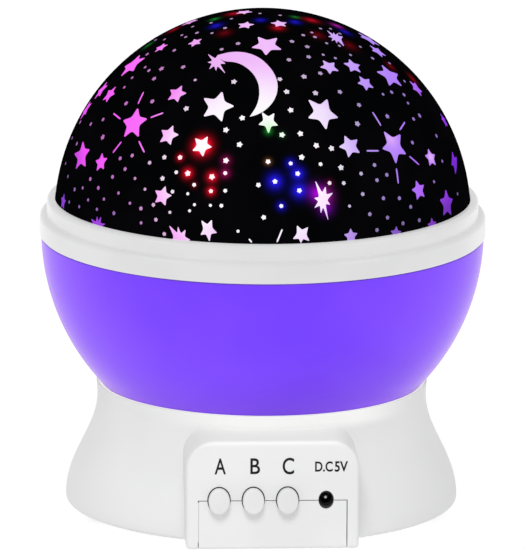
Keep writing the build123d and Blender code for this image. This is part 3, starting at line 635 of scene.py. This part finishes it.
# Stars by their middle and all their tips.
DRAWN_STARS = [
    ((266.5, 45.4), [(258, 37), (277, 38), (281.3, 49.5), (266, 55), (251.7, 47.5)]),
    ((390.2, 75.6), [(382, 65), (397.6, 74), (401.7, 86), (389.5, 85.5), (376.8, 71.7)]),
    ((217.6, 106.6), [(222.1, 91.8), (233.9, 106.1), (221.8, 121.4), (203.8, 116.3), (203.8, 98.2)]),
    ((322.7, 113.3), [(327.2, 99.2), (338, 117.6), (326.2, 129.4), (308.4, 117.9), (308.4, 99.7)]),
    ((268.3, 122), [(262, 112.3), (274.2, 113.3), (277.8, 125.3), (268.6, 133), (258.7, 124.5)]),
    ((202.2, 146), [(207.6, 136.5), (211.7, 147), (202.8, 156.5), (192.6, 150.6), (195.3, 138.4)]),
    ((81.8, 155.7), [(82.9, 141.4), (89.5, 149.6), (85.4, 166.4), (75.9, 168.8), (74.5, 153.7)]),
    ((207.9, 229.9), [(201.4, 220.5), (211.7, 220), (216.7, 232.8), (209.4, 241.4), (200.7, 234.8)]),
    ((301.2, 235.3), [(297.1, 225.6), (307.9, 227.3), (309.2, 240.9), (301, 243), (293.1, 238.9)]),
    ((133.9, 123), [(137.7, 108.2), (146.9, 118.9), (138.5, 136.8), (124.2, 136.8), (123.4, 120.4)]),
    ((393.8, 146.4), [(384, 131.5), (400.3, 134.4), (406, 154), (396, 163.5), (382.6, 148.7)]),
]
# Sparks with uneven spikes, by their middle and all their tips.
SPARKS = [
    ((335.4, 37.2), [(327.1, 30.4), (333.5, 32.5), (338, 33.2), (342.5, 36.5), (344, 46.1), (337, 43),
                     (331.7, 40.7), (328.5, 36.5)]),
    ((454.2, 162.1), [(452.3, 151.6), (456.5, 157), (455.6, 174), (451.8, 165)]),
    ((180, 239), [(169.3, 225.6), (177.9, 226.9), (185.3, 230), (190, 240), (186, 248), (176, 250),
                  (169, 243)]),
    ((322.7, 200.1), [(315.3, 180.7), (325.5, 186.8), (332.7, 193), (330, 204.7), (328.3, 220.5),
                      (320.9, 212.9), (314.7, 207.8), (314.5, 198.1)]),
    ((97.5, 226.5), [(91.2, 218.9), (97, 216.6), (100.8, 217), (105, 224), (103, 231), (92, 231)]),
    ((216, 61.7), [(207.9, 54.1), (225.2, 73.3), (207.9, 62.2), (209.4, 68.9), (216, 70.4), (225.2, 63.5),
                   (218, 55.1)]),
]
# Rays round the two ray stars, and two bits at the ring.
RAYS = [
    ((138, 103.9), (143.6, 91.8)), ((150.4, 117.6), (163.3, 112.8)), ((120.3, 118.9), (113.3, 113.3)),
    ((121.4, 141.6), (112.7, 152.9)), ((138.8, 140.9), (144.3, 152.4)), ((372.5, 111.9), (381.1, 125.8)),
    ((405, 121.9), (399.8, 130)), ((366.6, 150.8), (379, 150.8)), ((409.4, 156.2), (419.2, 164.8)),
    ((396.4, 168.3), (398.4, 183.6)), ((249, 238.9), (251.7, 242.4)), ((282.3, 229.2), (276.9, 242.4)),
]
# Middles of the dots, by size.
LARGE_DOTS = [
    (161.4, 68.6), (186.2, 108.5), (233.9, 81.6), (242.2, 117.9), (225.9, 129.9), (239.5, 144.5),
    (304.1, 76.5), (286.7, 91.6), (290.7, 110), (300.4, 133.6), (316.3, 145.5), (331.5, 148.3),
    (301.7, 157.2), (341, 167.5), (187.7, 173.3), (211.9, 176.8), (225.9, 160.5), (102.6, 137.1),
    (282.1, 134.8), (357.5, 123.7), (315.5, 92.9),
]
MIDDLE_DOTS = [
    (183.1, 66.9), (154, 78.6), (152.2, 101.3), (238, 43.4), (292, 41.3), (307.3, 46.6), (308.7, 56.8),
    (289, 59.7), (320.4, 73.2), (340, 91.8), (359.1, 104.9), (387.4, 116.2), (419.7, 115.5), (164.3, 157.2),
    (180, 157.4), (162.4, 178.4), (258.4, 185), (275, 181.5), (299.4, 190.6), (297.7, 173.6), (268.1, 161.6),
    (279.8, 79.1), (126, 103.3), (263.7, 217.4),
]
LESSER_DOTS = [
    (221.6, 49.2), (103, 119.4), (120.1, 158.3), (132.1, 155.5), (149.5, 162.7), (125, 169), (112.4, 176.8),
    (176.2, 172.2), (98.2, 187.9), (194.1, 184.8), (320.6, 164.1), (329.6, 183), (343.8, 183.1),
    (362.8, 194.1), (361.2, 173.6), (374.6, 165), (386.9, 174.8), (377.1, 180.1), (412.5, 142.5),
    (210.9, 191.1), (225.2, 173.1), (225.2, 190.7), (172.4, 191.6), (221.3, 205.7), (391.7, 92.1),
    (90.7, 124), (80.1, 122.1), (399.5, 198.2), (290.7, 163.4), (281.3, 206), (315, 36.9), (303.3, 35),
    (225, 27.9), (196.9, 32.7), (174.2, 50.2), (383.5, 198.2), (147.1, 54.1), (148.9, 70.4), (413.7, 118.9),
    (404.1, 94.7), (436.6, 135.8), (410.8, 206.8), (369.9, 214.2), (387.6, 217.6), (419.4, 220.2),
    (377.1, 230), (76.7, 143.7), (90.2, 179), (164.2, 234), (403.1, 223.3), (372.7, 58.2), (153.3, 204.9),
    (140.8, 208.5), (74.5, 189.4), (113.8, 213.2), (155.8, 219.7),
]
SMALL_DOTS = [
    (181.8, 35), (185.7, 36.9), (192.6, 26.5), (164.5, 39.3), (155.6, 39.8), (145.1, 67.1), (211.1, 22.7),
    (231.3, 18.6), (259.9, 13.3), (280.1, 15.1), (326.7, 43.1), (323.2, 54.6), (330.6, 28.6), (340, 33.5),
    (339.5, 45.7), (360.4, 46.7), (389.6, 63.1), (404.6, 81.1), (408.1, 103), (442.4, 161.1), (457.7, 193.9),
    (72.1, 137.9), (65.5, 163.4), (88, 199.9), (96.8, 209.3), (79.1, 206.7), (69.1, 202.1), (194.4, 204.7),
    (210.4, 205.4), (189.5, 210.8), (169.8, 212.3), (187.7, 193.7), (134.9, 178.4), (144.9, 189.2),
    (238, 231.2), (195.1, 79.9), (124.2, 87.2), (132.1, 77.6), (211.9, 33), (311.9, 32.4), (335.4, 58),
    (350.5, 54.8), (383.1, 94.2), (349.6, 206.1), (434.2, 181.7), (118.4, 193), (129.8, 203.2),
    (103.8, 199.1), (82.6, 187.9), (67.8, 176.4), (141, 222.9), (320.6, 28.4),
]
# Reach in pixels, notch as a share of it, rounds of corner cutting, and middles of each size.
DOTS = [
    (3.2, 0.62, 1, LARGE_DOTS), (2.65, 0.68, 1, MIDDLE_DOTS), (2.05, 0.82, 0, LESSER_DOTS),
    (1.65, 0.82, 0, SMALL_DOTS),
]
# The crescent's edges, both from its left horn to its lower one.
MOON_OUTER = [
    (217.6, 55.1), (228, 52.3), (238, 51.5), (250, 53.3), (260.5, 58.2), (269, 66), (275, 74.5), (278, 84),
    (277, 94), (272.5, 103), (265.5, 110), (257.5, 114.6), (249.7, 116.6),
]
MOON_INNER = [
    (217.6, 55.1), (221, 59.3), (224.2, 61.2), (233.9, 61.7), (240, 63.6), (245.1, 66.3), (250.2, 70.4),
    (254.3, 75), (257.4, 80.6), (259.2, 86.7), (259.4, 96.9), (256.3, 107.1), (249.7, 116.6),
]


def resample(points, count):
    """Points at even steps along a polyline, its corners eased by corner cutting."""
    line = np.asarray(points, dtype=float)
    for _ in range(2):
        cut = np.stack([0.75 * line[:-1] + 0.25 * line[1:], 0.25 * line[:-1] + 0.75 * line[1:]], axis=1)
        line = np.concatenate([line[:1], cut.reshape(-1, 2), line[-1:]])
    run = np.concatenate([[0], np.cumsum(np.linalg.norm(np.diff(line, axis=0), axis=1))])
    at = np.linspace(0, run[-1], count)
    return np.stack([np.interp(at, run, line[:, 0]), np.interp(at, run, line[:, 1])], axis=-1)


def moon_mesh(rows=9, columns=49):
    """Two crescents, one at the front and one behind it.

    Each is a grid from its outer edge to its inner one, (1 - share) * outer + share * inner, laid on the
    windows' ball, with a skirt and a floor inside the mask."""
    outer, inner = resample(MOON_OUTER, columns), resample(MOON_INNER, columns)
    share = np.linspace(0, 1, rows)[:, None, None]
    top = on_dome((outer * (1 - share) + inner * share).reshape(-1, 2))
    low = DOME_MIDDLE + (top - DOME_MIDDLE) * (SUNK_RADIUS / WINDOW_RADIUS)
    sheet = grid_faces(rows, columns)
    edge = np.concatenate([
        np.arange(columns), np.arange(1, rows) * columns + columns - 1,
        (rows - 1) * columns + np.arange(columns - 2, -1, -1), np.arange(rows - 2, 0, -1) * columns])
    ahead = np.roll(edge, -1)
    count = len(top)
    walls = np.stack([edge, edge + count, ahead + count, ahead], axis=1)
    points = np.concatenate([top, low])
    points = np.concatenate([points, points * [-1, -1, 1]])
    faces = np.concatenate([sheet, sheet[:, ::-1] + count, walls])
    return points, np.concatenate([faces, faces + 2 * count]).tolist()


stars, dots, sparks = Shapes(), Shapes(), Shapes()
for middle, tip in TIPPED_STARS:
    stars.tips(middle, [tip])
for middle, reach, tilt in SIZED_STARS:
    stars.even(middle, reach, tilt)
for middle, tips in DRAWN_STARS:
    stars.tips(middle, tips)
for middle, tips in SPARKS:
    sparks.tips(middle, tips, waist=0.5, rounds=1)
for start, end in RAYS:
    sparks.ray(start, end)
for reach, waist, rounds, places in DOTS:
    for middle in places:
        dots.dot(middle, reach, waist, rounds)

# ---------------------------------------------------------------- light through the dome
# Coloured glows round some windows: place in pixels, width in millimetres, colour and strength.
RED, GREEN, BLUE, ROSE = (1.0, 0.005, 0.03), (0.03, 0.75, 0.08), (0.02, 0.012, 1.0), (0.8, 0.01, 0.25)
PINK, WARM, PURPLE = (0.95, 0.03, 0.85), (0.8, 0.35, 0.12), (0.3, 0.0, 0.62)
HALOS = [
    ((202.2, 146), 1.77, RED, 3.0), ((187.7, 173.3), 1.15, RED, 1.1), ((211.9, 176.8), 1.15, RED, 1.1),
    ((210.9, 191.1), 0.95, RED, 1.0), ((180, 157.4), 0.85, RED, 0.7), ((194.1, 184.8), 0.8, RED, 0.15),
    ((225.9, 160.5), 1.1, ROSE, 0.35), ((225.2, 173.1), 1.1, ROSE, 0.4), ((268.1, 161.6), 0.8, WARM, 0.25),
    ((268.4, 131), 0.9, GREEN, 0.3), ((282.1, 134.8), 0.9, GREEN, 0.06), ((275, 181.5), 1.65, BLUE, 1.0),
    ((299.4, 190.6), 1.65, BLUE, 1.0), ((297.7, 173.6), 1.4, BLUE, 1.0), ((290.7, 163.4), 1.1, BLUE, 0.6),
    ((281.3, 206), 1.0, BLUE, 0.6), ((324, 196), 1.9, PINK, 0.42), ((326, 208), 1.6, PURPLE, 0.5),
    ((316, 193), 1.8, PURPLE, 0.9), ((329.6, 183), 0.9, ROSE, 0.1), ((216, 25.5), 1.35, BLUE, 0.55),
    ((214.5, 18.9), 1.1, GREEN, 0.28), ((260.4, 19.9), 1.2, BLUE, 0.45), ((295.1, 21.9), 1.2, BLUE, 0.55),
    ((295.1, 16.8), 1.0, GREEN, 0.22), ((277.8, 27.6), 1.35, RED, 0.45), ((233.9, 13.3), 1.6, RED, 0.4),
    ((311.4, 19.9), 1.6, RED, 0.45), ((336.9, 25.5), 1.4, PINK, 0.4), ((345.1, 31.6), 1.4, BLUE, 0.4),
    ((349.6, 45), 1.8, RED, 0.09), ((317.6, 34.7), 1.6, RED, 0.11), ((224.7, 32.7), 1.5, RED, 0.11),
    ((173.7, 29.6), 1.4, RED, 0.33), ((148.2, 44.9), 1.4, GREEN, 0.17), ((390.7, 66), 1.25, RED, 0.13),
    ((412.7, 78.4), 1.4, RED, 0.22),
]
halo_places = on_dome([halo[0] for halo in HALOS]) * MM


def dimmed(colour, share):
    return tuple(share * value for value in colour)


def halo_light(paint):
    """Sum of every halo's bell curve times its colour."""
    light = None
    for place, (_, width, colour, strength) in zip(halo_places, HALOS):
        bell = paint.glow(tuple(place), width * MM)
        coloured = paint.vector("SCALE", dimmed(colour, strength), Scale=bell)
        light = coloured if light is None else paint.vector("ADD", light, coloured)
    return light


mask_paint = Paint("black_mask", (0.0016, 0.0018, 0.0022), Roughness=0.45, Specular_IOR_Level=0.0)
# Painted light: the black mask glows with the coloured halos round some windows.
mask_paint.feed("Emission Color", halo_light(mask_paint))
mask_paint.shader.inputs["Emission Strength"].default_value = 1.0
mask_paint.mottle((0.0014, 0.0016, 0.002), (0.0024, 0.0022, 0.003), 60.0)

HUE_REACH = 60.0   # how far the hues go, left and right of the middle
HUES = [           # millimetres to the right of the middle, and the colour of the light there
    (-57.4, srgb(128, 48, 185)), (-52, srgb(238, 82, 246)), (-37, srgb(252, 108, 251)),
    (-27, srgb(246, 140, 246)), (-17, srgb(236, 176, 244)), (0, srgb(242, 190, 252)),
    (18, srgb(208, 170, 250)), (30, srgb(182, 142, 249)), (38, srgb(176, 122, 251)),
    (46, srgb(172, 84, 244)), (53, srgb(138, 38, 238)), (57.4, srgb(100, 36, 188)),
]
BRIGHTEST = (250, 165)   # where the windows are whitest, in pixels
# Local tints of the windows: place in pixels, width in millimetres, share and colour.
TINTS = [
    ((270, 130), 2.6, 0.9, srgb(205, 255, 198)), ((430.9, 157), 2.3, 1.0, srgb(222, 176, 247)),
    ((391, 139), 2.4, 0.9, srgb(220, 168, 250)), ((322, 112), 4.0, 0.5, srgb(246, 236, 250)),
    ((217, 232), 3.0, 0.8, srgb(244, 190, 250)), ((454.5, 165), 2.5, 0.7, srgb(98, 32, 183)),
]


def window_finish(name, outer_light, far, whiter):
    """Lit window: whitest round BRIGHTEST, magenta to the left and violet to the right, with other colours
    at TINTS and HALOS. outer_light is how bright the windows are from far millimetres away on, and whiter
    the share of white in their hue."""
    paint = Paint(name, (0.01, 0.01, 0.01), Roughness=0.5, Specular_IOR_Level=0.0)
    east, _, height = paint.across()
    sweep = paint.node("ShaderNodeMapRange", None, east, -HUE_REACH * MM, HUE_REACH * MM, 0.0, 1.0)
    stops = [((x + HUE_REACH) / (2 * HUE_REACH), dimmed(tint, outer_light)) for x, tint in HUES]
    hue = paint.node("ShaderNodeValToRGB", {"stops": stops}, sweep)
    low = 1 - height.step(93 * MM, 101 * MM)
    low_left = low * (1 - east.step(-46 * MM, -30 * MM)) * 0.85
    low_right = low * east.step(10 * MM, 40 * MM) * 0.7
    hue = paint.mix(low_left, hue, dimmed(srgb(135, 62, 214), outer_light))
    hue = paint.mix(low_right, hue, dimmed(srgb(92, 40, 150), outer_light))
    hue = paint.mix(whiter, hue, dimmed(srgb(205, 200, 212), outer_light))
    away = paint.distance(tuple(on_dome(BRIGHTEST)[0] * MM))
    nearness = (1 - away.step(16 * MM, far * MM)) * (1.05 - paint.noise(900.0) * 0.1)
    lit = paint.mix(nearness, hue, srgb(254, 250, 255))
    for place, width, share, tint in TINTS:
        near = paint.glow(tuple(on_dome(place)[0] * MM), width * MM)
        lit = paint.mix(near * share, lit, tint)
    paint.feed("Emission Color", paint.vector("ADD", lit, halo_light(paint)))
    paint.shader.inputs["Emission Strength"].default_value = 1.0
    return paint


window_paint = window_finish("lit_window", 1.0, 36.0, 0.0)
dot_paint = window_finish("lit_dot", 0.62, 40.0, 0.3)


def mask_profile():
    """Black shell's profile: the outer arc from its edge to the pole, then the inner arc back."""
    inner_radius = MASK_RADIUS - DOME_WALL
    low = ball_angle(DOME_LOW, DOME_HEIGHT, MASK_RADIUS)
    outer = arc((0, DOME_HEIGHT), MASK_RADIUS, low, 90.0, 100)
    low = ball_angle(DOME_LOW, DOME_HEIGHT, inner_radius)
    inner = arc((0, DOME_HEIGHT), inner_radius, 90.0, low, 60)
    outer[-1, 0] = inner[0, 0] = 0.0
    return np.concatenate([outer, inner])


new_piece("star_mask", *turned(mask_profile()), mask_paint, DOME, "black_mask", ["star_dome"])
for shapes in (stars, sparks, dots):
    shapes.turned_round()
new_piece("star_windows", *stars.mesh(), window_paint, DOME, "frosted", flat_above=60)
new_piece("spark_windows", *sparks.mesh(), window_paint, DOME, "frosted", flat_above=60)
new_piece("dot_windows", *dots.mesh(), dot_paint, DOME, "frosted", flat_above=60)
new_piece("moon_window", *moon_mesh(), window_paint, DOME, "frosted", flat_above=60)


# ---------------------------------------------------------------- letters on the panel
PRINT_AHEAD = 0.02        # how far the print's back lies in front of the panel's face
PRINT_THICK = 0.04
# Printed marks: name, text, middle x, foot z, cap height, width, and how much bolder than the plain face.
MARKS = [
    ("letter_a", "A", -15.0, 24.15, 4.65, 3.2, 0.009), ("letter_b", "B", -5.05, 24.15, 4.6, 2.75, 0.009),
    ("letter_c", "C", 4.4, 24.0, 4.85, 3.3, 0.009), ("socket_mark", "D.C", 14.5, 24.7, 3.0, 5.0, 0.02),
    ("volt_mark", "5V", 19.45, 24.65, 3.05, 3.75, 0.02),
]


def letters(name, text, x, z, height, width, bold):
    """Printed letters on the panel's face: scaled to their cap height and width, centred on x, foot at z."""
    curve = bpy.data.curves.new(name, "FONT")
    curve.body = text
    curve.size = 1.0
    curve.offset = bold
    curve.resolution_u = 6
    made = bpy.data.objects.new(name + "_text", curve)
    bpy.context.scene.collection.objects.link(made)
    bpy.context.view_layer.update()
    mesh = bpy.data.meshes.new_from_object(made.evaluated_get(bpy.context.evaluated_depsgraph_get()))
    bpy.data.objects.remove(made)
    flat = np.empty(len(mesh.vertices) * 3)
    mesh.vertices.foreach_get("co", flat)
    flat = flat.reshape(-1, 3)
    low, top = flat.min(axis=0), flat.max(axis=0)
    up = height / (top[1] - low[1])
    along = width / (top[0] - low[0])
    placed = np.stack([
        x + (flat[:, 0] - (low[0] + top[0]) / 2) * along,
        np.full(len(flat), PANEL_FACE - PRINT_AHEAD),
        z + (flat[:, 1] - low[1]) * up], axis=-1) * MM
    mesh.vertices.foreach_set("co", placed.ravel())
    mesh.name = name
    dress(name, mesh, ink, BASE, (), 40.0)
    sheet = bpy.data.objects[name].modifiers.new("ink", "SOLIDIFY")
    sheet.thickness = PRINT_THICK * MM
    sheet.offset = 1.0


for mark in MARKS:
    letters(*mark)

# ---------------------------------------------------------------- painted shade in the gaps round the buttons, and the seam
GAP_INNER = (3.0, 3.65)   # half width and half height of the button's oval
GAP_OUTER = (3.34, 3.92)
GAP_LIFT = 0.12           # how much higher the outer oval's middle lies, so that the painted shade is wider at the top
GAP_FRONT, GAP_BACK = PANEL_FACE - 0.015, PANEL_FACE + 0.1
SEAM_LEFT, SEAM_RIGHT = -21.31, -21.11
SEAM_LOW, SEAM_HIGH = 4.2, 15.8
SEAM_FRONT, SEAM_BACK = PANEL_FACE + 0.03, PANEL_FACE + 1.1


def button_gap_shade(letter, steps=64):
    """Painted shade in the gap round a button: a thin dark plate between two ovals (a cos t, b sin t), the
    outer one lifted so that the shade is wider at the top.
    """
    angle = np.linspace(0, 2 * np.pi, steps, endpoint=False)
    inner = np.stack([GAP_INNER[0] * np.cos(angle), GAP_INNER[1] * np.sin(angle)], axis=-1)
    outer = np.stack([GAP_OUTER[0] * np.cos(angle), GAP_OUTER[1] * np.sin(angle) + GAP_LIFT], axis=-1)
    rings = np.concatenate([inner, outer, outer, inner])
    depth = np.repeat([GAP_FRONT, GAP_FRONT, GAP_BACK, GAP_BACK], steps)
    x, z = [middle_of(f"button_{letter}", axis) for axis in (X, Z)]
    points = np.stack([x + rings[:, 0], depth, z + rings[:, 1]], axis=-1)
    faces = grid_faces(4, steps, close_rows=True, close_columns=True).tolist()
    new_piece(f"button_gap_{letter}", points, faces, ink, BASE, "black_plastic")


def tongue_seam(rows=12):
    """A thin bar that fills the left slit of the panel's lower half but for a hairline: its four corners,
    row by row from its foot to its top, with both ends closed."""
    corners = np.array([(SEAM_LEFT, SEAM_FRONT), (SEAM_RIGHT, SEAM_FRONT), (SEAM_RIGHT, SEAM_BACK),
                        (SEAM_LEFT, SEAM_BACK)])
    rise = np.repeat(np.linspace(SEAM_LOW, SEAM_HIGH, rows), 4)
    points = np.column_stack([np.tile(corners, (rows, 1)), rise])
    ends = [[3, 2, 1, 0], [4 * rows - 4, 4 * rows - 3, 4 * rows - 2, 4 * rows - 1]]
    faces = grid_faces(rows, 4, close_columns=True).tolist() + ends
    new_piece("tongue_seam", points, faces, white_shell, BASE, "white_shell")


for letter in "abc":
    button_gap_shade(letter)
tongue_seam()

# ---------------------------------------------------------------- floor and light
FLOOR_HALF = 9.0     # metres, as are the places and sizes of the lights
WORLD_LIGHT = 0.7
OUTER_SKINS = ("bowl_skin", "rim_groove", "rim_band", "ring_band")
DOME_SKINS = ("star_mask", "star_windows", "spark_windows", "dot_windows", "moon_window")


def make_floor():
    """A square that is pale by its own light too, so that it stays even."""
    half = FLOOR_HALF
    corners = [(-half, -half, 0), (half, -half, 0), (half, half, 0), (-half, half, 0)]
    mesh = bpy.data.meshes.new("floor")
    mesh.from_pydata(corners, [], [(0, 1, 2, 3)])
    floor = bpy.data.objects.new("floor", mesh)
    paint = Paint("floor", (0.6, 0.6, 0.6), Roughness=0.9, Specular_IOR_Level=0.0,
                  Emission_Color=(1.0, 1.0, 1.0, 1.0), Emission_Strength=0.62)
    mesh.materials.append(paint.material)
    bpy.context.scene.collection.objects.link(floor)


def area_light(name, place, aim, size, power, pieces, alone=False):
    """Softbox at a place, turned to an aim, that lights some pieces. Alone means nothing else shades them."""
    light = bpy.data.lights.new(name, "AREA")
    light.shape = "RECTANGLE"
    light.size, light.size_y = size
    light.energy = power
    lamp = bpy.data.objects.new(name, light)
    turned_to = (Vector(aim) - Vector(place)).to_track_quat("-Z", "Y")
    lamp.matrix_world = Matrix.Translation(Vector(place)) @ turned_to.to_matrix().to_4x4()
    bpy.context.scene.collection.objects.link(lamp)
    lit = bpy.data.collections.new(name + "_lights")
    for piece in pieces:
        lit.objects.link(piece)
    lamp.light_linking.receiver_collection = lit
    if alone:
        lamp.light_linking.blocker_collection = lit


make_floor()
world = bpy.data.worlds.new("studio")
world.use_nodes = True
background = world.node_tree.nodes["Background"]
background.inputs["Color"].default_value = (1.0, 1.0, 1.0, 1.0)
background.inputs["Strength"].default_value = WORLD_LIGHT
bpy.context.scene.world = world
upper = [bpy.data.objects[name] for name in OUTER_SKINS]
unlit_by_base_key = OUTER_SKINS + DOME_SKINS + ("floor",)
lower = [piece for piece in bpy.data.objects if piece.type == "MESH" and piece.name not in unlit_by_base_key]
area_light("left_softbox", (-1.0, -0.6, 0.6), (0, 0, 0.07), (0.5, 0.6), 3.0, upper)
area_light("right_softbox", (1.0, -0.6, 0.6), (0, 0, 0.07), (0.5, 0.6), 2.6, upper)
area_light("bowl_key", (-0.15, -1.0, 0.85), (0, 0, 0.03), (0.5, 0.4), 5.2, upper[:1])
area_light("base_key", (-0.1, -0.8, 0.94), (0, 0, 0.03), (0.4, 0.4), 6.3, lower, alone=True)
for name in OUTER_SKINS + DOME_SKINS:
    bpy.data.objects[name].visible_diffuse = False   # keeps shade and violet off the white neighbours
bpy.data.objects["bowl_skin"].visible_glossy = False
bpy.context.scene.view_settings.view_transform = "Standard"
